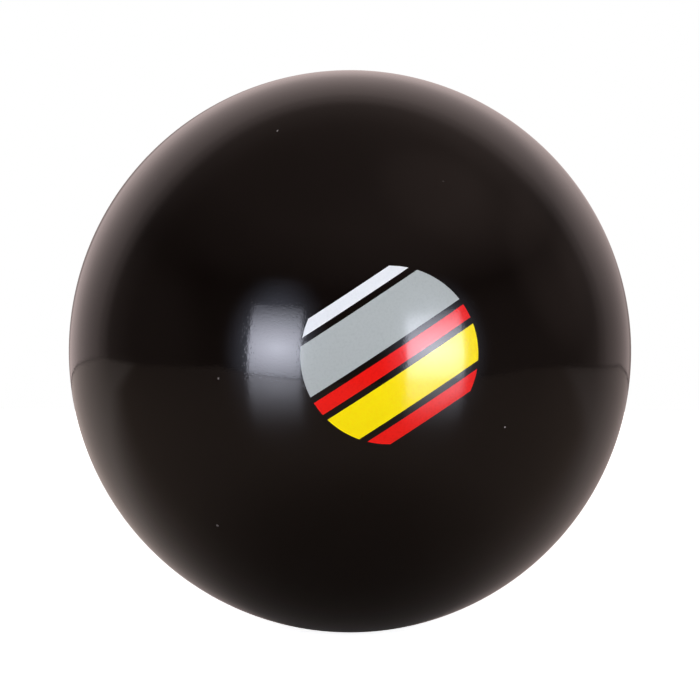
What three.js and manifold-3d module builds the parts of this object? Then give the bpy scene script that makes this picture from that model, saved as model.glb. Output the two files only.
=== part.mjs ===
// Field hockey ball: a cork centre wound with yarn, closed in two moulded half covers that meet in a
// stepped joint, with a striped roundel printed on the front half.
// Millimetres, +Z up, origin at the ball's centre. The joint lies in the plane Y = 0 and the print
// faces -Y, so every revolved piece turns about the Y axis.
import * as THREE from 'three';
import { mergeVertices } from 'three/addons/utils/BufferGeometryUtils.js';
import Module from 'manifold-3d';

// Covers
const ballDiameter = 73;
const coverWall = 5;
const seamChamfer = 0.2;
const tongueWall = 2.4;
const tongueDepth = 3;
const jointClearance = 0.3;

// Wound core
const nucleusDiameter = 32;
const nucleusClearance = 0.3;
const yarnDiameter = 2.7;
const yarnSpacing = 0.55;
const yarnTurnRadius = 2.7;
const yarnClearance = 0.3;
const coverClearance = 0.45;
const tuckRounding = 3.2;

// Print: a roundel of slanted stripes, set to the right of the pole and above it. The circle that
// trims the stripes' ends stands out past the first and last stripe by the crown.
const roundelCrown = 1.7;
const roundelRight = 4.8;
const roundelUp = 2.2;
const stripeSlant = THREE.MathUtils.degToRad(33);
const stripeSpacing = 0.8;
const whiteStripe = 1.5;
const greyStripe = 5.8;
const redStripe = 1.8;
const yellowStripe = 4.1;
const inkThickness = 0.3;
const inkClearance = 0.2;
const inkBedClearance = 0.1;

// Facets
const coverSides = 48;
const coverArcStep = THREE.MathUtils.degToRad(7.5);
const coreSides = 24;
const coreArcStep = THREE.MathUtils.degToRad(15);
const cornerArcStep = THREE.MathUtils.degToRad(30);
const roundelArcSteps = 6;
const stepsPerLoop = 24;
const yarnSides = 6;
const weldDistance = 1e-4;

// Radii of the layers, from the outside in
const ballRadius = ballDiameter / 2;
const cavityRadius = ballRadius - coverWall;
const yarnRadius = yarnDiameter / 2;
const windingRadius = cavityRadius - coverClearance - yarnRadius;
const chordShare = Math.cos(Math.PI / stepsPerLoop);
const bedRadius = windingRadius * chordShare - yarnRadius - yarnClearance;
const nucleusRadius = nucleusDiameter / 2;
const bedCavityRadius = nucleusRadius + nucleusClearance;
const tuckRadius = yarnRadius + yarnClearance;

const blackPvc = { color: 0x1a1412, roughness: 0.12, metalness: 0 };
const cork = { color: 0xa67c52, roughness: 0.9, metalness: 0 };
const wool = { color: 0xd9cdb4, roughness: 0.95, metalness: 0 };
const whiteInk = { color: 0xf0f4f7, roughness: 0.15, metalness: 0 };
const greyInk = { color: 0xb6bdbd, roughness: 0.15, metalness: 0 };
const redInk = { color: 0xe3140f, roughness: 0.15, metalness: 0 };
const yellowInk = { color: 0xfee301, roughness: 0.15, metalness: 0 };

const wasm = await Module();
wasm.setup();

// Angles from one end of an arc to the other, on whole multiples of the step between them
function arcAngles(from, to, step) {
  const rising = to > from;
  const low = Math.min(from, to);
  const high = Math.max(from, to);
  const angles = [low];
  for (let k = Math.floor(low / step) + 1; k * step < high; k += 1) {
    angles.push(k * step);
  }
  angles.push(high);
  return rising ? angles : angles.reverse();
}

// Arc in a revolve profile: the angle runs from -Y (0) through the equator to +Y (pi)
function profileArc(radius, from, to, step) {
  return arcAngles(from, to, step).map(
    (angle) => new THREE.Vector2(radius * Math.sin(angle), -radius * Math.cos(angle)),
  );
}

// The same arc about a centre off the axis
function cornerArc(centreX, centreY, radius, from, to) {
  return profileArc(radius, from, to, cornerArcStep).map(
    (point) => new THREE.Vector2(centreX + point.x, centreY + point.y),
  );
}

// Closed triangle mesh with shared corners and without the collapsed triangles at a revolve's poles
function weld(geometry) {
  const bare = geometry.clone();
  bare.deleteAttribute('normal');
  bare.deleteAttribute('uv');
  const merged = mergeVertices(bare, weldDistance);
  const triangles = [];
  for (let i = 0; i < merged.index.count; i += 3) {
    const corners = [0, 1, 2].map((k) => merged.index.getX(i + k));
    if (new Set(corners).size === 3) {
      triangles.push(...corners);
    }
  }
  merged.setIndex(triangles);
  return merged;
}

function toSolid(geometry) {
  const closed = weld(geometry);
  return new wasm.Manifold(new wasm.Mesh({
    numProp: 3,
    vertProperties: closed.attributes.position.array,
    triVerts: Uint32Array.from(closed.index.array),
  }));
}

function toGeometry(solid) {
  const { vertProperties, triVerts } = solid.getMesh();
  const geometry = new THREE.BufferGeometry();
  geometry.setAttribute('position', new THREE.BufferAttribute(vertProperties, 3));
  geometry.setIndex(new THREE.BufferAttribute(triVerts, 1));
  geometry.computeVertexNormals();
  return geometry;
}

const ball = new THREE.Group();

function addPiece(name, geometry, finish) {
  const piece = new THREE.Mesh(geometry, new THREE.MeshStandardMaterial(finish));
  piece.name = name;
  ball.add(piece);
}

// Half covers. The back half's tongue carries on the line of the cavity and enters the front half's
// rebate, and the seam edges are eased so that the joint reads as one fine line.
const equator = Math.PI / 2;
const seamAngle = Math.asin(seamChamfer / ballRadius);
const tongueRadius = cavityRadius + tongueWall;
const rebateRadius = tongueRadius + jointClearance;
const rebateDepth = tongueDepth + jointClearance;
const rebateAngle = Math.acos(rebateDepth / cavityRadius);
const tongueAngle = Math.acos(tongueDepth / cavityRadius);

function frontCover() {
  return new THREE.LatheGeometry([
    ...profileArc(ballRadius, 0, equator - seamAngle, coverArcStep),
    new THREE.Vector2(ballRadius - seamChamfer, 0),
    new THREE.Vector2(rebateRadius, 0),
    new THREE.Vector2(rebateRadius, -rebateDepth),
    ...profileArc(cavityRadius, rebateAngle, 0, coverArcStep),
  ], coverSides);
}

function backCover() {
  return new THREE.LatheGeometry([
    ...profileArc(cavityRadius, Math.PI, tongueAngle, coverArcStep),
    new THREE.Vector2(tongueRadius, -tongueDepth),
    new THREE.Vector2(tongueRadius, 0),
    new THREE.Vector2(ballRadius - seamChamfer, 0),
    ...profileArc(ballRadius, equator + seamAngle, Math.PI, coverArcStep),
  ], coverSides);
}

// Print. Each stripe is cut straight along Y, as a printing pad lays it, from a thin shell that has
// the cover's own facets, so its face is flush with the ball and it fills a recess of even depth.
const stripes = [
  { name: 'print_white', width: whiteStripe, ink: whiteInk },
  { name: 'print_grey', width: greyStripe, ink: greyInk },
  { name: 'print_red_upper', width: redStripe, ink: redInk },
  { name: 'print_yellow', width: yellowStripe, ink: yellowInk },
  { name: 'print_red_lower', width: redStripe, ink: redInk },
];
const stripesWidth = stripes.reduce((sum, stripe) => sum + stripe.width, 0);
const printWidth = stripesWidth + stripeSpacing * (stripes.length - 1);
const roundelRadius = printWidth / 2 + roundelCrown;
const printReach = roundelRadius + Math.hypot(roundelRight, roundelUp) + inkClearance;
const printCapAngle = Math.asin(printReach / ballRadius) + coverArcStep;
const inkRadius = ballRadius - inkThickness;
const recessRadius = inkRadius - inkBedClearance;

function capShell(outerRadius, innerRadius) {
  return toSolid(new THREE.LatheGeometry([
    ...profileArc(outerRadius, 0, printCapAngle, coverArcStep),
    ...profileArc(innerRadius, printCapAngle, 0, coverArcStep),
  ], coverSides));
}

// Straight-sided slice of the roundel between two distances across the stripes, grown by a margin
function stripePrism(near, far, margin) {
  const radius = roundelRadius + margin;
  const nearAngle = Math.acos((near - margin) / radius);
  const farAngle = Math.acos((far + margin) / radius);
  const outline = new THREE.Shape();
  outline.absarc(0, 0, radius, farAngle, nearAngle, false);
  outline.absarc(0, 0, radius, -nearAngle, -farAngle, false);
  outline.closePath();
  const prism = new THREE.ExtrudeGeometry(outline, {
    depth: ballDiameter,
    bevelEnabled: false,
    curveSegments: roundelArcSteps,
  });
  prism.rotateZ(stripeSlant - equator);
  prism.translate(roundelRight, roundelUp, 0);
  prism.rotateX(equator);
  return toSolid(prism);
}

function addPrintAndFrontCover() {
  const inkShell = capShell(ballRadius, inkRadius);
  const recessShell = capShell(ballRadius + coverWall, recessRadius);
  let cover = toSolid(frontCover());
  let near = -printWidth / 2;
  for (const { name, width, ink } of stripes) {
    const far = near + width;
    addPiece(name, toGeometry(inkShell.intersect(stripePrism(near, far, 0))), ink);
    cover = cover.subtract(recessShell.intersect(stripePrism(near, far, inkClearance)));
    near = far + stripeSpacing;
  }
  addPiece('cover_front', toGeometry(cover), blackPvc);
}

// Inner yarn layers as one body round the nucleus. A tuck hole at each pole, with a rounded mouth,
// leads the strand's two ends down to the nucleus.
const mouthCentreX = tuckRadius + tuckRounding;
const mouthCentreY = Math.sqrt((bedRadius - tuckRounding) ** 2 - mouthCentreX ** 2);
const mouthAngle = Math.asin(mouthCentreX / (bedRadius - tuckRounding));
const tuckFootAngle = Math.asin(tuckRadius / bedCavityRadius);

function yarnBed() {
  const foot = Math.sqrt(bedCavityRadius ** 2 - tuckRadius ** 2);
  const profile = [
    new THREE.Vector2(tuckRadius, -foot),
    ...cornerArc(mouthCentreX, -mouthCentreY, tuckRounding, -equator, mouthAngle),
    ...profileArc(bedRadius, mouthAngle, Math.PI - mouthAngle, coreArcStep).slice(1, -1),
    ...cornerArc(mouthCentreX, mouthCentreY, tuckRounding, Math.PI - mouthAngle, 3 * equator),
    ...profileArc(bedCavityRadius, Math.PI - tuckFootAngle, tuckFootAngle, coreArcStep),
  ];
  return new THREE.LatheGeometry(profile, coreSides);
}

function corkNucleus() {
  return new THREE.LatheGeometry(profileArc(nucleusRadius, 0, Math.PI, coreArcStep), coreSides);
}

// Outer yarn layer: one strand that climbs out of the tuck hole at +Y, turns into a spiral of even
// pitch over the sphere and goes down the hole at -Y.
const bendRadius = mouthCentreX;
const turnCentre = Math.hypot(bendRadius, yarnTurnRadius);
const spiralStartRadius = turnCentre + yarnTurnRadius;
const spiralStartTurn = Math.atan2(yarnTurnRadius, bendRadius);
const spiralStartAngle = Math.asin(spiralStartRadius / windingRadius);
const spiralSpan = Math.PI - 2 * spiralStartAngle;
const loops = Math.floor((windingRadius * spiralSpan) / (yarnDiameter + yarnSpacing));
const spiralTurn = 2 * Math.PI * loops - 2 * spiralStartTurn;

function onWinding(x, z) {
  return new THREE.Vector3(x, Math.sqrt(windingRadius ** 2 - x ** 2 - z ** 2), z);
}

function yarnLead() {
  const bendTop = onWinding(bendRadius, 0).y;
  const points = [new THREE.Vector3(0, bedCavityRadius, 0)];
  for (const angle of arcAngles(0, equator, cornerArcStep / 2)) {
    points.push(new THREE.Vector3(
      bendRadius * (1 - Math.cos(angle)),
      bendTop - bendRadius * (1 - Math.sin(angle)),
      0,
    ));
  }
  for (const angle of arcAngles(0, equator + spiralStartTurn, cornerArcStep).slice(1, -1)) {
    points.push(onWinding(
      bendRadius + yarnTurnRadius * Math.sin(angle),
      yarnTurnRadius * (1 - Math.cos(angle)),
    ));
  }
  return points;
}

function yarnSpiral() {
  const steps = Math.round((stepsPerLoop * spiralTurn) / (2 * Math.PI));
  return Array.from({ length: steps + 1 }, (_, i) => {
    const polar = spiralStartAngle + (spiralSpan * i) / steps;
    const turn = spiralStartTurn + (spiralTurn * i) / steps;
    return new THREE.Vector3(
      windingRadius * Math.sin(polar) * Math.cos(turn),
      windingRadius * Math.cos(polar),
      windingRadius * Math.sin(polar) * Math.sin(turn),
    );
  });
}

// Tube with flat ends along a list of points, its section carried from point to point untwisted
function tubeAlong(points, radius, sides) {
  const tangents = points.map((_, i) => {
    const before = points[Math.max(i - 1, 0)];
    const after = points[Math.min(i + 1, points.length - 1)];
    return after.clone().sub(before).normalize();
  });
  const across = new THREE.Vector3(1, 0, 0);
  const positions = [];
  points.forEach((point, i) => {
    if (i > 0) {
      across.applyQuaternion(new THREE.Quaternion().setFromUnitVectors(tangents[i - 1], tangents[i]));
    }
    const upward = tangents[i].clone().cross(across);
    for (let k = 0; k < sides; k += 1) {
      const angle = (2 * Math.PI * k) / sides;
      const corner = point.clone()
        .addScaledVector(across, radius * Math.cos(angle))
        .addScaledVector(upward, radius * Math.sin(angle));
      positions.push(corner.x, corner.y, corner.z);
    }
  });
  const index = [];
  const lastRing = (points.length - 1) * sides;
  for (let ring = 0; ring < lastRing; ring += sides) {
    for (let k = 0; k < sides; k += 1) {
      const next = (k + 1) % sides;
      index.push(ring + k, ring + next, ring + sides + k);
      index.push(ring + next, ring + sides + next, ring + sides + k);
    }
  }
  for (let k = 1; k < sides - 1; k += 1) {
    index.push(0, k + 1, k);
    index.push(lastRing, lastRing + k, lastRing + k + 1);
  }
  const geometry = new THREE.BufferGeometry();
  geometry.setAttribute('position', new THREE.Float32BufferAttribute(positions, 3));
  geometry.setIndex(index);
  geometry.computeVertexNormals();
  return geometry;
}

// Least space between two stretches of the strand that lie at least half a loop apart
function leastGap(points) {
  let least = Infinity;
  for (let i = 0; i < points.length; i += 1) {
    for (let j = i + stepsPerLoop / 2; j < points.length; j += 1) {
      least = Math.min(least, points[i].distanceTo(points[j]));
    }
  }
  return least - yarnDiameter;
}

function yarnWinding() {
  const lead = yarnLead();
  const tail = lead.map((point) => new THREE.Vector3(point.x, -point.y, -point.z)).reverse();
  const points = [...lead, ...yarnSpiral(), ...tail];
  console.log(`yarn_winding: ${loops} loops, least gap to itself ${leastGap(points).toFixed(2)} mm`);
  return tubeAlong(points, yarnRadius, yarnSides);
}

addPiece('cork_nucleus', corkNucleus(), cork);
addPiece('yarn_bed', weld(yarnBed()), wool);
addPiece('yarn_winding', yarnWinding(), wool);
addPrintAndFrontCover();
addPiece('cover_back', backCover(), blackPvc);

export default ball;
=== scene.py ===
import math

import bmesh
import bpy
from mathutils import Matrix, Vector, noise


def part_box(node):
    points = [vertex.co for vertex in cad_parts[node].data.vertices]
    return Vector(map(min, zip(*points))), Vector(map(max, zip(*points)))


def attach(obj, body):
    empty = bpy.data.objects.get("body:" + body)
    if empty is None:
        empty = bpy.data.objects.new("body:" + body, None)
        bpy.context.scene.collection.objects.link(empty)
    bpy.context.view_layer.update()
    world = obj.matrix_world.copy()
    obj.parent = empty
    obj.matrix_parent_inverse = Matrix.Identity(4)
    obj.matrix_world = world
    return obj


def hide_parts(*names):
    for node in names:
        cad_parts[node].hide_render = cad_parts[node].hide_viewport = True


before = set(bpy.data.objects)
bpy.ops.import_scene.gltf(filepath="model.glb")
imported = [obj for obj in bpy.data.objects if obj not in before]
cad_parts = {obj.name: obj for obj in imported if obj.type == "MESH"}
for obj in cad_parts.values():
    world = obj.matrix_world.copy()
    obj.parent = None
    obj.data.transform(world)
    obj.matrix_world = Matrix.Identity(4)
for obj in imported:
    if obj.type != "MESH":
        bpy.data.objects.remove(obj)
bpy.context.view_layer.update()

mm = 0.001
quarterTurn = math.pi / 2
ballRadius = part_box("cover_back")[1].x
floorHeight = -ballRadius
print("frame loaded, ball radius %.2f mm" % (ballRadius / mm))


# helpers

# the colour sockets of a Mix node go by number, because its other data types use the same names
mixSockets = {"first": 6, "second": 7, "result": 2}


def toLinear(hexColour):
    # sRGB hex to the linear RGBA that the sockets take
    channels = [int(hexColour[i:i + 2], 16) / 255 for i in (1, 3, 5)]
    linear = [c / 12.92 if c <= 0.04045 else ((c + 0.055) / 1.055) ** 2.4 for c in channels]
    return (*linear, 1.0)


def addNode(tree, kind, settings=None, values=None, links=None):
    # one node with its settings, its socket values and what feeds it
    node = tree.nodes.new("ShaderNode" + kind)
    for name, setting in (settings or {}).items():
        setattr(node, name, setting)
    for socket, value in (values or {}).items():
        node.inputs[socket].default_value = value
    for socket, source in (links or {}).items():
        tree.links.new(source, node.inputs[socket])
    return node


def mixColours(tree, share, first, second):
    # from the first colour to the second, each a hex colour or another node's socket
    values = {}
    links = {0: share}
    for socket, colour in ((mixSockets["first"], first), (mixSockets["second"], second)):
        if isinstance(colour, str):
            values[socket] = toLinear(colour)
        else:
            links[socket] = colour
    mixed = addNode(tree, "Mix", {"data_type": "RGBA"}, values, links)
    return mixed.outputs[mixSockets["result"]]


def newMaterial(name):
    material = bpy.data.materials.new(name)
    material.use_nodes = True
    material.node_tree.nodes.clear()
    return material, material.node_tree


def finishMaterial(tree, shader):
    addNode(tree, "OutputMaterial", links={"Surface": shader})


def newPiece(bm, name, material, sharpAngle=30):
    bmesh.ops.recalc_face_normals(bm, faces=bm.faces)
    mesh = bpy.data.meshes.new(name)
    bm.to_mesh(mesh)
    bm.free()
    mesh.shade_smooth()
    mesh.set_sharp_from_angle(angle=math.radians(sharpAngle))
    piece = bpy.data.objects.new(name, mesh)
    bpy.context.scene.collection.objects.link(piece)
    piece.data.materials.append(material)
    return piece


def standFor(piece, node):
    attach(piece, "root")
    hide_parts(node)


def onBall(radius, polar, spin, side):
    # point on a sphere: polar is the angle from the pole on that side of the joint
    ring = radius * math.sin(polar)
    return Vector((ring * math.cos(spin), side * radius * math.cos(polar), ring * math.sin(spin)))


def spinOf(point):
    return math.atan2(point.z, point.x)


# camera: long lens a little above the ball, framed by the ball's outline in the 700 px picture
cameraLook = {
    "distance": 0.50,
    "elevation": 4.4,
    "outlinePixels": 281.24,
    "centreAcross": 349.99,
    "centreDown": 351.29,
    "picturePixels": 700,
    "sensor": 36.0,
    "clipStart": 0.010,
}


def makeCamera(look):
    lens = bpy.data.cameras.new("camera")
    camera = bpy.data.objects.new("camera", lens)
    bpy.context.scene.collection.objects.link(camera)
    lift = math.radians(look["elevation"])
    towards = Vector((0, -math.cos(lift), math.sin(lift)))
    camera.location = towards * look["distance"]
    camera.rotation_euler = (-towards).to_track_quat("-Z", "Y").to_euler()
    focalPixels = look["outlinePixels"] / math.tan(math.asin(ballRadius / look["distance"]))
    lens.sensor_width = look["sensor"]
    lens.lens = focalPixels * look["sensor"] / look["picturePixels"]
    lens.shift_x = 0.5 - look["centreAcross"] / look["picturePixels"]
    lens.shift_y = look["centreDown"] / look["picturePixels"] - 0.5
    lens.clip_start = look["clipStart"]
    bpy.context.scene.camera = camera
    bpy.context.scene.view_settings.view_transform = "Standard"


makeCamera(cameraLook)
print("camera set")


# studio: a lit white sweep behind the ball, a dim room in front, a glossy pale table top
# and two strip softboxes, one each side of the camera
# angles are in degrees, and roomHeights pairs the z of a direction with the level there
studioLook = {
    "sweepColour": "#ffe9e6",
    "sweepTurn": 2.2,
    "sweepDrop": 2.5,
    "sweepHalfAngle": 61.2,
    "sweepCorner": 5.5,
    "sweepEdge": 3.2,
    "sweepCentre": 0.86,
    "sweepRim": 0.225,
    "sweepFlat": 25.0,
    "hemAngle": 55.0,
    "hemEdge": 1.5,
    "hemShare": 0.70,
    "sideReach": 0.3,
    "sideLeft": 0.82,
    "sideRight": 0.51,
    "sideTop": 0.38,
    # painted shade of the ball on the sweep, one patch each side behind it
    "paintedBallShadows": [
        {"side": (-0.146, 0.989, 0.0), "full": 2.0, "reach": 9.5, "share": 0.3},
        {"side": (0.20, 0.976, -0.09), "full": 2.0, "reach": 7.0, "share": 0.35},
    ],
    "glowTo": 78.0,
    "glowLevel": 0.06,
    "roomColour": "#ffe1d7",
    "roomHeights": ((0.0, 0.075), (0.3, 0.06), (0.45, 0.025), (0.6, 0.12), (0.8, 0.19), (1.0, 0.17)),
    "roomLeft": 0.42,
    "roomRight": 1.40,
    "patches": [
        {"side": (0.91, 0.18, 0.37), "full": 7.0, "reach": 25.0, "level": 0.10},
        {"side": (0.49, -0.14, 0.86), "full": 5.0, "reach": 25.0, "level": 0.08},
        {"side": (-0.99, 0.10, -0.05), "full": 16.0, "reach": 40.0, "level": 0.054},
    ],
    "fillLevel": 0.22,
}


def addPatch(tree, direction, patch, outside, inside):
    # smooth spot round a direction, with one level outside it and another in its middle
    middle = Vector(patch["side"]).normalized()
    near = addNode(tree, "VectorMath", {"operation": "DOT_PRODUCT"}, {1: middle}, {0: direction})
    spot = addNode(tree, "MapRange", {"interpolation_type": "SMOOTHSTEP"}, {
        "From Min": math.cos(math.radians(patch["reach"])),
        "From Max": math.cos(math.radians(patch["full"])),
        "To Min": outside,
        "To Max": inside,
    }, {"Value": near.outputs["Value"]})
    return spot.outputs[0]


def addSweep(tree, direction, look):
    drop = math.radians(cameraLook["elevation"] + look["sweepDrop"])
    turn = math.radians(look["sweepTurn"])
    sweepAxis = Vector((
        -math.sin(turn) * math.cos(drop),
        math.cos(turn) * math.cos(drop),
        -math.sin(drop),
    ))
    sweepSide = Vector((math.cos(turn), math.sin(turn), 0))
    facing, across, upward = [
        addNode(tree, "VectorMath", {"operation": "DOT_PRODUCT"}, {1: axis},
                {0: direction}).outputs["Value"]
        for axis in (sweepAxis, sweepSide, sweepSide.cross(sweepAxis))
    ]
    angle = addNode(tree, "Math", {"operation": "ARCCOSINE"}, links={0: facing})
    # it is a rounded square, so its corners reach further out, by the square of sin 2r,
    # r being the roll about its axis
    roll = addNode(tree, "Math", {"operation": "ARCTAN2"}, links={0: upward, 1: across})
    roll = addNode(tree, "Math", {"operation": "MULTIPLY"}, {1: 2.0}, {0: roll.outputs[0]})
    corner = addNode(tree, "Math", {"operation": "SINE"}, links={0: roll.outputs[0]})
    corner = addNode(tree, "Math", {"operation": "POWER"}, {1: 2.0}, {0: corner.outputs[0]})
    corner = addNode(tree, "Math", {"operation": "MULTIPLY"}, {1: math.radians(look["sweepCorner"])},
                     {0: corner.outputs[0]})
    angle = addNode(tree, "Math", {"operation": "SUBTRACT"},
                    links={0: angle.outputs[0], 1: corner.outputs[0]}).outputs[0]
    # it is brightest straight behind and falls off to a dimmer hem and a soft rim
    level = addNode(tree, "MapRange", values={
        "From Min": math.radians(look["sweepFlat"]),
        "From Max": math.radians(look["sweepHalfAngle"]),
        "To Min": look["sweepCentre"],
        "To Max": look["sweepRim"],
    }, links={"Value": angle}).outputs[0]
    fades = []
    for middle, edge, share in (
        (look["hemAngle"], look["hemEdge"], look["hemShare"]),
        (look["sweepHalfAngle"], look["sweepEdge"], 0.0),
    ):
        fades.append(addNode(tree, "MapRange", {"interpolation_type": "SMOOTHSTEP"}, {
            "From Min": math.radians(middle - edge),
            "From Max": math.radians(middle + edge),
            "To Min": 1.0,
            "To Max": share,
        }, {"Value": angle}).outputs[0])
    # low down it is dimmer, most on the right
    towards = addNode(tree, "SeparateXYZ", links={0: direction})
    sideLevel = addNode(tree, "MapRange", values={
        "From Min": -look["sideReach"],
        "From Max": look["sideReach"],
        "To Min": look["sideLeft"],
        "To Max": look["sideRight"],
    }, links={"Value": towards.outputs["X"]})
    fades.append(addNode(tree, "MapRange", {"interpolation_type": "SMOOTHSTEP"}, {
        "From Min": 0.0, "From Max": look["sideTop"], "To Max": 1.0,
    }, {"Value": towards.outputs["Z"], "To Min": sideLevel.outputs[0]}).outputs[0])
    # and it has two patches of painted shade behind the ball, one each side, for the ball's own shadow on
    # it
    for patch in look["paintedBallShadows"]:
        fades.append(addPatch(tree, direction, patch, 1.0, patch["share"]))
    for fade in fades:
        level = addNode(tree, "Math", {"operation": "MULTIPLY"}, links={0: level, 1: fade}).outputs[0]
    # a weak glow spills past its rim
    glow = addNode(tree, "MapRange", values={
        "From Min": math.radians(look["sweepHalfAngle"]),
        "From Max": math.radians(look["glowTo"]),
        "To Min": look["glowLevel"],
        "To Max": 0.0,
    }, links={"Value": angle})
    level = addNode(tree, "Math", {"operation": "ADD"}, links={0: level, 1: glow.outputs[0]})
    return addNode(tree, "Background", values={"Color": toLinear(look["sweepColour"])},
                   links={"Strength": level.outputs[0]})


def addRoom(tree, direction, look):
    # a dark belt between pale lower walls and a paler ceiling, lighter on the right
    towards = addNode(tree, "SeparateXYZ", links={0: direction})
    belts = addNode(tree, "ValToRGB", links={0: towards.outputs["Z"]})
    stops = belts.color_ramp.elements
    halfWay = 0.5
    while len(stops) < len(look["roomHeights"]):
        stops.new(halfWay)
    for stop, (height, level) in zip(stops, look["roomHeights"]):
        stop.position = height
        stop.color = (level, level, level, 1.0)
    sideLevel = addNode(tree, "MapRange", values={
        "From Min": -1.0, "From Max": 1.0, "To Min": look["roomLeft"], "To Max": look["roomRight"],
    }, links={"Value": towards.outputs["X"]})
    level = addNode(tree, "Math", {"operation": "MULTIPLY"},
                    links={0: belts.outputs["Color"], 1: sideLevel.outputs[0]}).outputs[0]
    # with a pale patch of wall on either hand and one of ceiling above
    for patch in look["patches"]:
        pale = addPatch(tree, direction, patch, 0.0, patch["level"])
        level = addNode(tree, "Math", {"operation": "ADD"}, links={0: level, 1: pale}).outputs[0]
    return addNode(tree, "Background", values={"Color": toLinear(look["roomColour"])},
                   links={"Strength": level})


def makeWorld(look):
    world = bpy.data.worlds.new("studio")
    world.use_nodes = True
    tree = world.node_tree
    tree.nodes.clear()
    bpy.context.scene.world = world
    direction = addNode(tree, "TexCoord").outputs["Generated"]
    sweep = addSweep(tree, direction, look)
    room = addRoom(tree, direction, look)
    studio = addNode(tree, "AddShader", links={0: sweep.outputs[0], 1: room.outputs[0]})
    # mirror and see-through rays meet that studio, soft rays a plain fill as well,
    # and the camera plain white
    fill = addNode(tree, "Background", values={
        "Color": toLinear("#ffffff"), "Strength": look["fillLevel"]})
    white = addNode(tree, "Background", values={"Color": toLinear("#ffffff"), "Strength": 1.0})
    rays = addNode(tree, "LightPath")
    shiny = addNode(tree, "Math", {"operation": "MAXIMUM"}, links={
        0: rays.outputs["Is Glossy Ray"], 1: rays.outputs["Is Transmission Ray"]})
    lit = addNode(tree, "AddShader", links={0: studio.outputs[0], 1: fill.outputs[0]})
    met = addNode(tree, "MixShader", links={0: shiny.outputs[0], 1: lit.outputs[0], 2: studio.outputs[0]})
    seen = addNode(tree, "MixShader", links={
        0: rays.outputs["Is Camera Ray"], 1: met.outputs[0], 2: white.outputs[0]})
    addNode(tree, "OutputWorld", links={"Surface": seen.outputs[0]})


# sizes and places of the table and the softboxes are in metres
tableLook = {
    "outline": ((-0.62, -0.47), (0.52, -0.155), (0.52, 0.0), (0.36, 0.19),
                (0.27, 0.30), (-0.27, 0.32), (-0.61, 0.30)),
    "edgeShare": 0.05,
    # the table colours are painted light and shade: grey front for painted shade, pale back left for
    # painted light, darker back right for painted shade
    "frontShadeColour": "#aa9c8e",
    "backLeftLitColour": "#fff5ea",
    "backRightShadeColour": "#d3c9c1",
    "frontTo": -0.03,
    "backFrom": 0.01,
    "backTurn": 0.05,
    "leans": [
        {"from": -0.01, "to": -0.20, "by": 0.05},
        {"from": 0.02, "to": 0.10, "by": 0.033},
    ],
    # painted contact shadow: darker colour round the spot where the ball stands
    "contactShadeColour": "#83776b",
    "contactShadeSpot": (0, -0.032),
    "contactShadeFull": 0.006,
    "contactShadeReach": 0.045,
    # painted shade of the table's edge
    "edgeShadeColour": "#1c1715",
    "roughness": 0.20,
    "edgeRoughness": 0.6,
    "ior": 1.3,
    "cameraWhite": 0.90,
}


def whiteToCamera(tree, shader):
    # the camera sees the table as plain white with only the shadow on it
    lit = addNode(tree, "BsdfDiffuse", values={"Color": toLinear("#ffffff")})
    white = addNode(tree, "Emission", values={"Strength": tableLook["cameraWhite"]})
    pale = addNode(tree, "AddShader", links={0: lit.outputs[0], 1: white.outputs[0]})
    rays = addNode(tree, "LightPath")
    seen = addNode(tree, "MixShader", links={
        0: rays.outputs["Is Camera Ray"], 1: shader, 2: pale.outputs[0]})
    finishMaterial(tree, seen.outputs[0])


def makeLaminate(look):
    # laminate under a clear satin skin that mirrors at a low angle, its colour carrying painted light and
    # shade: painted shade in front and out to the sides, painted light behind on the left, and a painted
    # contact shadow round where the ball stands
    material, tree = newMaterial("laminatePaintedLightAndShade")
    spot = addNode(tree, "TexCoord").outputs["Object"]
    place = addNode(tree, "SeparateXYZ", links={0: spot})
    back = place.outputs["Y"]
    # painted light and shade: grey in front, pale behind, with the line between them pushed forward out
    # to the sides
    for lean in look["leans"]:
        shift = addNode(tree, "MapRange", values={
            "From Min": lean["from"], "From Max": lean["to"], "To Min": 0.0, "To Max": lean["by"],
        }, links={"Value": place.outputs["X"]})
        back = addNode(tree, "Math", {"operation": "SUBTRACT"},
                       links={0: back, 1: shift.outputs[0]}).outputs[0]
    backShare = addNode(tree, "MapRange", {"interpolation_type": "SMOOTHSTEP"}, {
        "From Min": look["frontTo"], "From Max": look["backFrom"]}, {"Value": back})
    rightShare = addNode(tree, "MapRange", {"interpolation_type": "SMOOTHSTEP"}, {
        "From Min": -look["backTurn"], "From Max": look["backTurn"]}, {"Value": place.outputs["X"]})
    behind = mixColours(tree, rightShare.outputs[0], look["backLeftLitColour"], look["backRightShadeColour"])
    paintedLightColour = mixColours(tree, backShare.outputs[0], look["frontShadeColour"], behind)
    # painted contact shadow: the colour darkens towards the spot under the ball
    away = addNode(tree, "VectorMath", {"operation": "DISTANCE"}, {1: (*look["contactShadeSpot"], floorHeight)},
                   {0: spot})
    shadeFreeShare = addNode(tree, "MapRange", {"interpolation_type": "SMOOTHSTEP"}, {
        "From Min": look["contactShadeFull"], "From Max": look["contactShadeReach"]}, {"Value": away.outputs["Value"]})
    shader = addNode(tree, "BsdfPrincipled", values={
        "Roughness": look["roughness"], "IOR": look["ior"]}, links={
        "Base Color": mixColours(tree, shadeFreeShare.outputs[0], look["contactShadeColour"], paintedLightColour)})
    whiteToCamera(tree, shader.outputs[0])
    return material


def makePaintedShadeEdge(look):
    # matt dark band, painted shade of the table's edge, which draws a fine line in the ball's gloss
    material, tree = newMaterial("tableEdgePaintedShade")
    shader = addNode(tree, "BsdfPrincipled", values={
        "Base Color": toLinear(look["edgeShadeColour"]), "Roughness": look["edgeRoughness"]})
    whiteToCamera(tree, shader.outputs[0])
    return material


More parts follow.
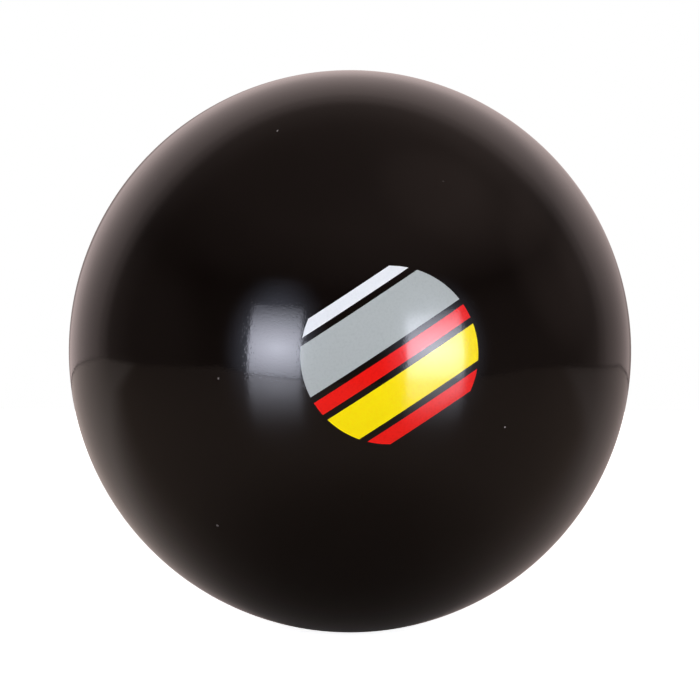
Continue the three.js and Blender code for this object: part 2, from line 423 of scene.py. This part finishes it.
def makeTable(look):
    inside = 1 - look["edgeShare"]
    corners = [
        [Vector((x * share, y * share, floorHeight)) for x, y in look["outline"]]
        for share in (1, inside)
    ]
    bm = bmesh.new()
    outer, inner = [[bm.verts.new(corner) for corner in ring] for ring in corners]
    for i in range(len(outer)):
        bm.faces.new((outer[i - 1], outer[i], inner[i], inner[i - 1]))
    newPiece(bm, "tableEdge", makePaintedShadeEdge(look))
    bm = bmesh.new()
    bm.faces.new([bm.verts.new(corner) for corner in corners[1]])
    newPiece(bm, "tableTop", makeLaminate(look))


softboxLook = {
    "distance": 0.90,
    "colour": "#ecefff",
    "size": 1.10,
    "edge": 0.006,
    "hotReach": 0.24,
    "hotStretch": 0.52,
    "level": 13.7,
    "coolShare": 0.12,
    "haloColour": "#dbe4ff",
    "haloLevel": 1.0,
    "haloFull": 0.5,
    "haloAcross": 0.22,
    "haloUp": 0.32,
    "sides": [
        {"name": "softboxLeft", "azimuth": -29.6, "halfWidth": 10.5, "low": -9.0, "high": 20.5,
         "hot": (-0.02, 0.08, 0)},
        {"name": "softboxRight", "azimuth": 33.9, "halfWidth": 11.5, "low": -9.0, "high": 18.5,
         "hot": (0.02, 0.075, 0)},
    ],
}


def makeSoftboxCloth(look, side):
    # white front cloth with a faint bluish glow round its frame
    material, tree = newMaterial(side["name"] + "Cloth")
    reach = look["distance"]
    low = reach * math.tan(math.radians(side["low"]))
    high = reach * math.tan(math.radians(side["high"]))
    half = reach * math.tan(math.radians(side["halfWidth"]))
    spot = addNode(tree, "TexCoord").outputs["Object"]
    place = addNode(tree, "SeparateXYZ", links={0: spot})
    # how far a point lies outside the cloth, across and upright
    outside = []
    for source, middle, extent in (
        (place.outputs["X"], 0, half),
        (place.outputs["Y"], (low + high) / 2, (high - low) / 2),
    ):
        away = addNode(tree, "Math", {"operation": "SUBTRACT"}, {1: middle}, {0: source})
        away = addNode(tree, "Math", {"operation": "ABSOLUTE"}, links={0: away.outputs[0]})
        away = addNode(tree, "Math", {"operation": "SUBTRACT"}, {1: extent}, {0: away.outputs[0]})
        outside.append(addNode(tree, "Math", {"operation": "MAXIMUM"}, {1: 0.0}, {0: away.outputs[0]}))
    apart = addNode(tree, "CombineXYZ", links={0: outside[0].outputs[0], 1: outside[1].outputs[0]})
    apart = addNode(tree, "VectorMath", {"operation": "LENGTH"}, links={0: apart.outputs[0]})
    # its lamp makes a hot spot, longer across than upright
    offHot = addNode(tree, "VectorMath", {"operation": "SUBTRACT"}, {1: side["hot"]}, {0: spot})
    offHot = addNode(tree, "VectorMath", {"operation": "MULTIPLY"}, {1: (look["hotStretch"], 1, 1)},
                     {0: offHot.outputs[0]})
    offHot = addNode(tree, "VectorMath", {"operation": "LENGTH"}, links={0: offHot.outputs[0]})
    level = addNode(tree, "MapRange", values={
        "From Min": 0.0, "From Max": look["hotReach"],
        "To Min": look["level"], "To Max": look["level"] * look["coolShare"],
    }, links={"Value": offHot.outputs["Value"]})
    window = addNode(tree, "MapRange", {"interpolation_type": "SMOOTHSTEP"}, {
        "From Min": 0.0, "From Max": look["edge"], "To Min": 1.0, "To Max": 0.0,
    }, {"Value": apart.outputs["Value"]})
    level = addNode(tree, "Math", {"operation": "MULTIPLY"},
                    links={0: level.outputs[0], 1: window.outputs[0]})
    cloth = addNode(tree, "Emission", values={"Color": toLinear(look["colour"])},
                    links={"Strength": level.outputs[0]})
    # the glow is an oval that thins out with the square of the way to its rim
    oval = addNode(tree, "VectorMath", {"operation": "SUBTRACT"}, {1: (0, (low + high) / 2, 0)},
                   {0: spot})
    oval = addNode(tree, "VectorMath", {"operation": "DIVIDE"}, {
        1: (half + look["haloAcross"], (high - low) / 2 + look["haloUp"], 1)}, {0: oval.outputs[0]})
    oval = addNode(tree, "VectorMath", {"operation": "LENGTH"}, links={0: oval.outputs[0]})
    halo = addNode(tree, "MapRange", values={
        "From Min": look["haloFull"], "From Max": 1.0,
        "To Min": math.sqrt(look["haloLevel"]), "To Max": 0.0,
    }, links={"Value": oval.outputs["Value"]})
    halo = addNode(tree, "Math", {"operation": "POWER"}, {1: 2.0}, {0: halo.outputs[0]})
    glow = addNode(tree, "Emission", values={"Color": toLinear(look["haloColour"])},
                   links={"Strength": halo.outputs[0]})
    # the panel round the cloth is clear, so the room shows through it
    clear = addNode(tree, "BsdfTransparent")
    light = addNode(tree, "AddShader", links={0: cloth.outputs[0], 1: glow.outputs[0]})
    light = addNode(tree, "AddShader", links={0: light.outputs[0], 1: clear.outputs[0]})
    finishMaterial(tree, light.outputs[0])
    return material


def makeSoftbox(look, side):
    bm = bmesh.new()
    bmesh.ops.create_grid(bm, x_segments=1, y_segments=1, size=look["size"] / 2)
    panel = newPiece(bm, side["name"], makeSoftboxCloth(look, side))
    turn = math.radians(side["azimuth"])
    outward = Vector((math.sin(turn), -math.cos(turn), 0))
    panel.matrix_world = (
        Matrix.Translation(outward * look["distance"])
        @ Matrix.Rotation(turn, 4, "Z")
        @ Matrix.Rotation(quarterTurn, 4, "X")
        @ Matrix.Rotation(math.pi, 4, "Y")
    )
    panel.visible_camera = False


makeWorld(studioLook)
makeTable(tableLook)
for side in softboxLook["sides"]:
    makeSoftbox(softboxLook, side)
print("studio set")


# finishes, with the sizes of their patterns in mm

glossLook = {
    "ior": 1.52,
    "roughLow": 0.055,
    "roughHigh": 0.085,
    "smudgeSize": 14.0,
    "smudgeDetail": 4.0,
    "smudgeFrom": 0.3,
    "smudgeTo": 0.7,
    "waveDetail": 1.0,
    "peelSize": 1.5,
    "peelHeight": 0.0010,
    "rippleSize": 0.22,
    "rippleHeight": 0.003,
    "pipSpacing": 1.7,
    "pipSize": 0.26,
    "pipHeight": 0.005,
    "pipShare": 0.65,
    "pitSpacing": 0.30,
    "pitSize": 0.13,
    "pitDepth": 0.0028,
    "pitShare": 0.2,
}


def addSpecks(tree, place, spacing, size, share):
    # scattered round spots: 1 in the middle of a spot, 0 outside it, in some of the cells only
    cells = addNode(tree, "TexVoronoi", values={"Scale": 1 / (spacing * mm)}, links={"Vector": place})
    spot = addNode(tree, "MapRange", {"interpolation_type": "SMOOTHSTEP"}, {
        "From Min": 0.0, "From Max": size / spacing, "To Min": 1.0, "To Max": 0.0,
    }, {"Value": cells.outputs["Distance"]})
    chance = addNode(tree, "SeparateXYZ", links={0: cells.outputs["Color"]})
    chosen = addNode(tree, "Math", {"operation": "GREATER_THAN"}, {1: share},
                     {0: chance.outputs["X"]})
    specks = addNode(tree, "Math", {"operation": "MULTIPLY"},
                     links={0: spot.outputs[0], 1: chosen.outputs[0]})
    return specks.outputs[0]


def addGloss(tree, place, look):
    # polished skin: faint orange peel, a finer ripple, pinhole pits, a few tiny pips and patches of
    # handling haze, the same over plastic and ink
    smudge = addNode(tree, "TexNoise", values={
        "Scale": 1 / (look["smudgeSize"] * mm), "Detail": look["smudgeDetail"]}, links={"Vector": place})
    rough = addNode(tree, "MapRange", values={
        "From Min": look["smudgeFrom"],
        "From Max": look["smudgeTo"],
        "To Min": look["roughLow"],
        "To Max": look["roughHigh"],
    }, links={"Value": smudge.outputs["Fac"]})
    pips = addSpecks(tree, place, look["pipSpacing"], look["pipSize"], look["pipShare"])
    pits = addSpecks(tree, place, look["pitSpacing"], look["pitSize"], look["pitShare"])
    bump = addNode(tree, "Bump", values={"Distance": look["pipHeight"] * mm}, links={"Height": pips})
    bump = addNode(tree, "Bump", {"invert": True}, {"Distance": look["pitDepth"] * mm}, {
        "Height": pits, "Normal": bump.outputs["Normal"]})
    for size, height in (("peelSize", "peelHeight"), ("rippleSize", "rippleHeight")):
        wave = addNode(tree, "TexNoise", values={
            "Scale": 1 / (look[size] * mm), "Detail": look["waveDetail"]}, links={"Vector": place})
        bump = addNode(tree, "Bump", values={"Distance": look[height] * mm}, links={
            "Height": wave.outputs["Fac"], "Normal": bump.outputs["Normal"]})
    return rough.outputs[0], bump.outputs["Normal"]


def finishGloss(tree, place, colour):
    rough, normal = addGloss(tree, place, glossLook)
    shader = addNode(tree, "BsdfPrincipled", values={"IOR": glossLook["ior"]}, links={
        "Base Color": colour, "Roughness": rough, "Normal": normal})
    finishMaterial(tree, shader.outputs[0])


pvcLook = {
    "deep": "#0a0604",
    "worn": "#0f0a08",
    "mottleSize": 6.0,
    "mottleDetail": 3.0,
    "dust": "#a39c96",
    "dustSpacing": 4.0,
    "dustSize": 0.20,
    "dustShare": 0.72,
}


def makeBlackPvc(look):
    # moulded PVC coloured with carbon black and polished: warm near-black, deep gloss,
    # a breath of unevenness in the black and a few specks of dust
    material, tree = newMaterial("polishedBlackPvc")
    place = addNode(tree, "TexCoord").outputs["Object"]
    mottle = addNode(tree, "TexNoise", values={
        "Scale": 1 / (look["mottleSize"] * mm), "Detail": look["mottleDetail"]}, links={"Vector": place})
    body = mixColours(tree, mottle.outputs["Fac"], look["deep"], look["worn"])
    specks = addSpecks(tree, place, look["dustSpacing"], look["dustSize"], look["dustShare"])
    finishGloss(tree, place, mixColours(tree, specks, body, look["dust"]))
    return material


inkLook = {
    "grainSize": 0.28,
    "grainDetail": 3.0,
    "thinFrom": 0.45,
    "thinTo": 0.75,
    "colours": {
        "white": {"full": "#e9ece9", "thin": "#e4e7e4"},
        "grey": {"full": "#b0b6b0", "thin": "#aab0aa"},
        "red": {"full": "#ee1810", "thin": "#e2130d"},
        "yellow": {"full": "#ffe600", "thin": "#ffe000"},
    },
}


def makeInk(look, name):
    # pad-printed ink sealed under the gloss: strong flat colour with a fine uneven lay-down
    material, tree = newMaterial(name + "PrintedInk")
    place = addNode(tree, "TexCoord").outputs["Object"]
    grain = addNode(tree, "TexNoise", values={
        "Scale": 1 / (look["grainSize"] * mm), "Detail": look["grainDetail"]}, links={"Vector": place})
    thinShare = addNode(tree, "MapRange", values={
        "From Min": look["thinFrom"], "From Max": look["thinTo"]}, links={"Value": grain.outputs["Fac"]})
    colours = look["colours"][name]
    finishGloss(tree, place, mixColours(tree, thinShare.outputs[0], colours["full"], colours["thin"]))
    return material


corkLook = {
    "granuleSize": 2.4,
    "pale": "#b98d5f",
    "dark": "#7d5734",
    "binder": "#3d291b",
    "binderWidth": 0.07,
    "roughness": 0.85,
    "relief": 0.06,
}


def makeMouldedCork(look):
    # cork granules pressed in rubber binder: tan and brown grains with dark joints between them
    material, tree = newMaterial("mouldedCorkGranules")
    place = addNode(tree, "TexCoord").outputs["Object"]
    scale = 1 / (look["granuleSize"] * mm)
    grains = addNode(tree, "TexVoronoi", values={"Scale": scale}, links={"Vector": place})
    shade = addNode(tree, "SeparateXYZ", links={0: grains.outputs["Color"]})
    granule = mixColours(tree, shade.outputs["X"], look["pale"], look["dark"])
    joints = addNode(tree, "TexVoronoi", {"feature": "DISTANCE_TO_EDGE"}, {"Scale": scale},
                     {"Vector": place})
    solid = addNode(tree, "MapRange", {"interpolation_type": "SMOOTHSTEP"}, {
        "From Min": 0.0, "From Max": look["binderWidth"]}, {"Value": joints.outputs["Distance"]})
    colour = mixColours(tree, solid.outputs[0], look["binder"], granule)
    bump = addNode(tree, "Bump", values={"Distance": look["relief"] * mm},
                   links={"Height": solid.outputs[0]})
    shader = addNode(tree, "BsdfPrincipled", values={"Roughness": look["roughness"]}, links={
        "Base Color": colour, "Normal": bump.outputs["Normal"]})
    finishMaterial(tree, shader.outputs[0])
    return material


woolLook = {
    "fibreSize": 0.22,
    "fibreDetail": 4.0,
    "patchSize": 9.0,
    "patchDetail": 2.0,
    "paleFrom": 0.12,
    "paleTo": 0.4,
    "pale": "#e0d5bd",
    "dull": "#c2b393",
    "roughness": 0.95,
    "sheen": 0.25,
    "relief": 0.05,
}


def makeWoolYarn(look):
    # tightly wound worsted wool: undyed cream, matt, with a fibrous nap and slow changes of tone,
    # the fibres drawn coarser than real so that they show
    material, tree = newMaterial("woundWoolYarn")
    place = addNode(tree, "TexCoord").outputs["Object"]
    fibres = addNode(tree, "TexNoise", values={
        "Scale": 1 / (look["fibreSize"] * mm), "Detail": look["fibreDetail"]}, links={"Vector": place})
    patches = addNode(tree, "TexNoise", values={
        "Scale": 1 / (look["patchSize"] * mm), "Detail": look["patchDetail"]}, links={"Vector": place})
    tone = addNode(tree, "Math", {"operation": "MULTIPLY"}, links={
        0: fibres.outputs["Fac"], 1: patches.outputs["Fac"]})
    paleShare = addNode(tree, "MapRange", values={
        "From Min": look["paleFrom"], "From Max": look["paleTo"]}, links={"Value": tone.outputs[0]})
    colour = mixColours(tree, paleShare.outputs[0], look["dull"], look["pale"])
    bump = addNode(tree, "Bump", values={"Distance": look["relief"] * mm},
                   links={"Height": fibres.outputs["Fac"]})
    shader = addNode(tree, "BsdfPrincipled", values={
        "Roughness": look["roughness"], "Sheen Weight": look["sheen"]}, links={
        "Base Color": colour, "Normal": bump.outputs["Normal"]})
    finishMaterial(tree, shader.outputs[0])
    return material


blackPvc = makeBlackPvc(pvcLook)
mouldedCork = makeMouldedCork(corkLook)
woolYarn = makeWoolYarn(woolLook)
inks = {name: makeInk(inkLook, name) for name in inkLook["colours"]}
print("finishes made")


# half covers; sizes from here on are in mm and angles in degrees

coverLook = {
    "wall": 5.0,
    "seamEase": 0.07,
    "tongueWall": 2.4,
    "tongueDepth": 3.0,
    "jointGap": 0.3,
    "cells": 32,
}
cavityRadius = ballRadius - coverLook["wall"] * mm


def quadBall(cells):
    # gridded cube pushed out to unit directions with even steps of angle
    bm = bmesh.new()
    bmesh.ops.create_cube(bm, size=2)
    bmesh.ops.subdivide_edges(bm, edges=bm.edges[:], cuts=2 * cells - 1, use_grid_fill=True)
    for vert in bm.verts:
        vert.co = Vector([math.tan(c * math.pi / 4) for c in vert.co]).normalized()
    return bm


def quadDome(cells):
    # the half of it with y below 0, open at y = 0
    bm = quadBall(cells)
    behind = [face for face in bm.faces if face.calc_center_median().y > 0]
    bmesh.ops.delete(bm, geom=behind, context="FACES")
    return bm


def placeDome(target, dome, radius, limit, side):
    # lays the dome's grid on a spherical cap and gives back the cap's rim in order round the ball
    placed = {}
    for vert in dome.verts:
        polar = math.acos(max(-1, min(1, -vert.co.y))) * limit / quarterTurn
        placed[vert] = target.verts.new(onBall(radius, polar, spinOf(vert.co), side))
    for face in dome.faces:
        target.faces.new([placed[vert] for vert in face.verts])
    rim = sorted((vert for vert in dome.verts if vert.is_boundary), key=lambda v: spinOf(v.co))
    return [placed[vert] for vert in rim]


def addRing(target, rim, radius, height):
    ring = []
    for vert in rim:
        spin = spinOf(vert.co)
        ring.append(target.verts.new((radius * math.cos(spin), height, radius * math.sin(spin))))
    return ring


def bridge(target, first, second):
    count = len(first)
    for i in range(count):
        after = (i + 1) % count
        target.faces.new((first[i], first[after], second[after], second[i]))


def makeHalfCover(name, side, stepRadius, stepDepth):
    bm = bmesh.new()
    dome = quadDome(coverLook["cells"])
    ease = coverLook["seamEase"] * mm
    outerRim = placeDome(bm, dome, ballRadius, math.acos(ease / ballRadius), side)
    innerRim = placeDome(bm, dome, cavityRadius, math.acos(-side * stepDepth / cavityRadius), side)
    rings = [
        outerRim,
        addRing(bm, outerRim, ballRadius - ease, 0),
        addRing(bm, outerRim, stepRadius, 0),
        addRing(bm, outerRim, stepRadius, -stepDepth),
        innerRim,
    ]
    for first, second in zip(rings, rings[1:]):
        bridge(bm, first, second)
    dome.free()
    return newPiece(bm, name, blackPvc)


tongueRadius = cavityRadius + coverLook["tongueWall"] * mm
tongueDepth = coverLook["tongueDepth"] * mm
jointGap = coverLook["jointGap"] * mm
coverFront = makeHalfCover("coverFront", -1, tongueRadius + jointGap, tongueDepth + jointGap)
standFor(coverFront, "cover_front")
coverBack = makeHalfCover("coverBack", 1, tongueRadius, tongueDepth)
standFor(coverBack, "cover_back")
print("half covers made")


# print

roundelLook = {
    "right": 4.8,
    "up": 2.2,
    "slant": 33.0,
    "crown": 1.7,
    "spacing": 0.8,
    "rise": 0.012,
    "sink": 0.06,
    "grid": 0.6,
    "facing": 0.9,
    "stripes": [
        {"node": "print_white", "ink": "white", "width": 1.5},
        {"node": "print_grey", "ink": "grey", "width": 5.8},
        {"node": "print_red_upper", "ink": "red", "width": 1.8},
        {"node": "print_yellow", "ink": "yellow", "width": 4.1},
        {"node": "print_red_lower", "ink": "red", "width": 1.8},
    ],
}
stripesWidth = sum(stripe["width"] for stripe in roundelLook["stripes"])
printWidth = stripesWidth + roundelLook["spacing"] * (len(roundelLook["stripes"]) - 1)
roundelRadius = printWidth / 2 + roundelLook["crown"]


def stripePoint(across, along, radius):
    # from the roundel's own directions, in mm, straight back along Y on to the ball
    tilt = math.radians(roundelLook["slant"]) - quarterTurn
    x = (roundelLook["right"] + across * math.cos(tilt) - along * math.sin(tilt)) * mm
    z = (roundelLook["up"] + across * math.sin(tilt) + along * math.cos(tilt)) * mm
    return Vector((x, -math.sqrt(radius ** 2 - x ** 2 - z ** 2), z))


def makeStripe(stripe, near):
    far = near + stripe["width"]
    columns = max(2, round(stripe["width"] / roundelLook["grid"]))
    rows = round(2 * roundelRadius / roundelLook["grid"])
    bm = bmesh.new()
    sheets = []
    for radius in (ballRadius + roundelLook["rise"] * mm, ballRadius - roundelLook["sink"] * mm):
        sheet = []
        for i in range(columns + 1):
            across = near + (far - near) * i / columns
            reach = math.sqrt(roundelRadius ** 2 - across ** 2)
            sheet.append([
                bm.verts.new(stripePoint(across, reach * (2 * j / rows - 1), radius))
                for j in range(rows + 1)
            ])
        for i in range(columns):
            for j in range(rows):
                bm.faces.new((sheet[i][j], sheet[i + 1][j], sheet[i + 1][j + 1], sheet[i][j + 1]))
        sheets.append(sheet)
    edges = [
        sheet[0][:] + [column[-1] for column in sheet[1:]]
        + sheet[-1][-2::-1] + [column[0] for column in sheet[-2:0:-1]]
        for sheet in sheets
    ]
    bridge(bm, *edges)
    piece = newPiece(bm, stripe["node"], inks[stripe["ink"]])
    # the printed face keeps the ball's own normals right up to its edges
    mesh = piece.data
    normals = []
    for polygon in mesh.polygons:
        outward = polygon.normal.dot(polygon.center.normalized()) > roundelLook["facing"]
        for vertex in polygon.vertices:
            normals.append(mesh.vertices[vertex].co.normalized() if outward else polygon.normal)
    mesh.normals_split_custom_set(normals)
    return piece


near = -printWidth / 2
for stripe in roundelLook["stripes"]:
    standFor(makeStripe(stripe, near), stripe["node"])
    near += stripe["width"] + roundelLook["spacing"]
print("print laid")


# wound core

coreLook = {
    "yarn": 2.7,
    "spacing": 0.55,
    "turn": 2.7,
    "clearance": 0.3,
    "coverGap": 0.45,
    "mouth": 3.2,
    "nucleus": 32.0,
    "nucleusGap": 0.3,
    "loopSteps": 24,
    "sharpAngle": 60,
}
yarnRadius = coreLook["yarn"] / 2 * mm
windingRadius = cavityRadius - coreLook["coverGap"] * mm - yarnRadius
bedRadius = (windingRadius * math.cos(math.pi / coreLook["loopSteps"])
             - yarnRadius - coreLook["clearance"] * mm)
nucleusRadius = coreLook["nucleus"] / 2 * mm
bedCavityRadius = nucleusRadius + coreLook["nucleusGap"] * mm
tuckRadius = yarnRadius + coreLook["clearance"] * mm
mouthRadius = coreLook["mouth"] * mm


def spiralPoints(radius, startRadius, startTurn, pitch, steps):
    # even spiral over the sphere from the +Y pole to the -Y pole, the same at both ends
    startPolar = math.asin(startRadius / radius)
    span = math.pi - 2 * startPolar
    loops = math.floor(radius * span / pitch)
    sweep = 2 * math.pi * loops - 2 * startTurn
    count = round(steps * sweep / (2 * math.pi))
    return [
        onBall(radius, startPolar + span * i / count, startTurn + sweep * i / count, 1)
        for i in range(count + 1)
    ]


def addStrand(bm, points, radius, sides, plies, plyDepth, twistLength):
    # twisted yarn: a round section with one lobe a ply that turns as the strand runs on
    tangents = []
    for i in range(len(points)):
        before = points[max(i - 1, 0)]
        after = points[min(i + 1, len(points) - 1)]
        tangents.append((after - before).normalized())
    across = Vector((1, 0, 0))
    rings = []
    run = 0
    for i, point in enumerate(points):
        if i > 0:
            across.rotate(tangents[i - 1].rotation_difference(tangents[i]))
            run += (point - points[i - 1]).length
        upward = tangents[i].cross(across)
        ring = []
        for k in range(sides):
            angle = 2 * math.pi * k / sides
            lobe = math.cos(plies * (angle - 2 * math.pi * run / twistLength))
            reach = radius * (1 - plyDepth * (1 - lobe) / 2)
            ring.append(bm.verts.new(
                point + across * (reach * math.cos(angle)) + upward * (reach * math.sin(angle))))
        rings.append(ring)
    for first, second in zip(rings, rings[1:]):
        bridge(bm, first, second)
    bm.faces.new(rings[0])
    bm.faces.new(rings[-1])


windingLook = {"steps": 120, "sides": 12, "plies": 4, "plyDepth": 0.22, "twist": 16.0, "bendSteps": 10}


def makeWinding(look):
    bend = tuckRadius + mouthRadius
    turn = coreLook["turn"] * mm
    startTurn = math.atan2(turn, bend)
    startRadius = math.hypot(turn, bend) + turn
    bendTop = math.sqrt(windingRadius ** 2 - bend ** 2)
    # the strand climbs out of the tuck hole, bends over its mouth and turns into the spiral
    lead = [Vector((0, bedCavityRadius, 0))]
    for i in range(look["bendSteps"] + 1):
        angle = quarterTurn * i / look["bendSteps"]
        lead.append(Vector((bend * (1 - math.cos(angle)), bendTop - bend * (1 - math.sin(angle)), 0)))
    for i in range(1, look["bendSteps"]):
        angle = (quarterTurn + startTurn) * i / look["bendSteps"]
        x = bend + turn * math.sin(angle)
        z = turn * (1 - math.cos(angle))
        lead.append(Vector((x, math.sqrt(windingRadius ** 2 - x ** 2 - z ** 2), z)))
    pitch = (coreLook["yarn"] + coreLook["spacing"]) * mm
    spiral = spiralPoints(windingRadius, startRadius, startTurn, pitch, look["steps"])
    tail = [Vector((point.x, -point.y, -point.z)) for point in reversed(lead)]
    bm = bmesh.new()
    addStrand(bm, lead + spiral + tail, yarnRadius, look["sides"],
              look["plies"], look["plyDepth"], look["twist"] * mm)
    return newPiece(bm, "yarnWinding", woolYarn, coreLook["sharpAngle"])


bedLook = {"ridge": 1.1, "sides": 108, "loopSteps": 10, "mouthSteps": 8, "cavitySteps": 40}


def makeYarnBed(look):
    # inner layers as one body with a rounded tuck hole at each pole, its top layer a low ridge that
    # winds the same way as the layer above and dies out at the holes
    pitch = (coreLook["yarn"] + coreLook["spacing"]) * mm
    ridge = look["ridge"] * mm
    bodyRadius = bedRadius - ridge
    centreX = tuckRadius + mouthRadius
    centreY = math.sqrt((bodyRadius - mouthRadius) ** 2 - centreX ** 2)
    mouthPolar = math.asin(centreX / (bodyRadius - mouthRadius))
    footPolar = math.asin(tuckRadius / bedCavityRadius)
    span = math.pi - 2 * mouthPolar
    loops = math.floor(bodyRadius * span / pitch)
    spins = [2 * math.pi * k / look["sides"] for k in range(look["sides"])]
    bm = bmesh.new()

    def ringAt(x, y):
        return [bm.verts.new((x * math.cos(spin), y, x * math.sin(spin))) for spin in spins]

    mouth = []
    for i in range(look["mouthSteps"] + 1):
        angle = -quarterTurn + (quarterTurn + mouthPolar) * i / look["mouthSteps"]
        mouth.append((centreX + mouthRadius * math.sin(angle), centreY + mouthRadius * math.cos(angle)))
    rings = [ringAt(x, y) for x, y in mouth]
    steps = loops * look["loopSteps"]
    for i in range(1, steps):
        wound = loops * i / steps
        fade = min(1, wound, loops - wound)
        ring = []
        for spin in spins:
            rise = ridge * fade * abs(math.cos(math.pi * wound - spin / 2))
            ring.append(bm.verts.new(onBall(bodyRadius + rise, mouthPolar + span * i / steps, spin, 1)))
        rings.append(ring)
    rings += [ringAt(x, -y) for x, y in reversed(mouth)]
    for i in range(look["cavitySteps"] + 1):
        polar = math.pi - footPolar - (math.pi - 2 * footPolar) * i / look["cavitySteps"]
        rings.append(ringAt(bedCavityRadius * math.sin(polar), bedCavityRadius * math.cos(polar)))
    for first, second in zip(rings, rings[1:] + rings[:1]):
        bridge(bm, first, second)
    return newPiece(bm, "yarnBed", woolYarn, coreLook["sharpAngle"])


nucleusLook = {"cells": 20, "grain": 1.6, "grainDepth": 0.10, "flashWidth": 0.9, "flashHeight": 0.15}


def makeNucleus(look):
    # moulded ball of granules with the low flash ring that its two-part mould leaves
    bm = quadBall(look["cells"])
    for vert in bm.verts:
        facing = vert.co.copy()
        grain = noise.noise(facing * (nucleusRadius / mm / look["grain"]))
        flash = max(0, 1 - abs(facing.z) * nucleusRadius / (look["flashWidth"] * mm))
        rise = look["grainDepth"] * (grain - 1) / 2 + look["flashHeight"] * flash
        vert.co = facing * (nucleusRadius + rise * mm)
    return newPiece(bm, "corkNucleus", mouldedCork, coreLook["sharpAngle"])


standFor(makeWinding(windingLook), "yarn_winding")
standFor(makeYarnBed(bedLook), "yarn_bed")
standFor(makeNucleus(nucleusLook), "cork_nucleus")
print("wound core made")
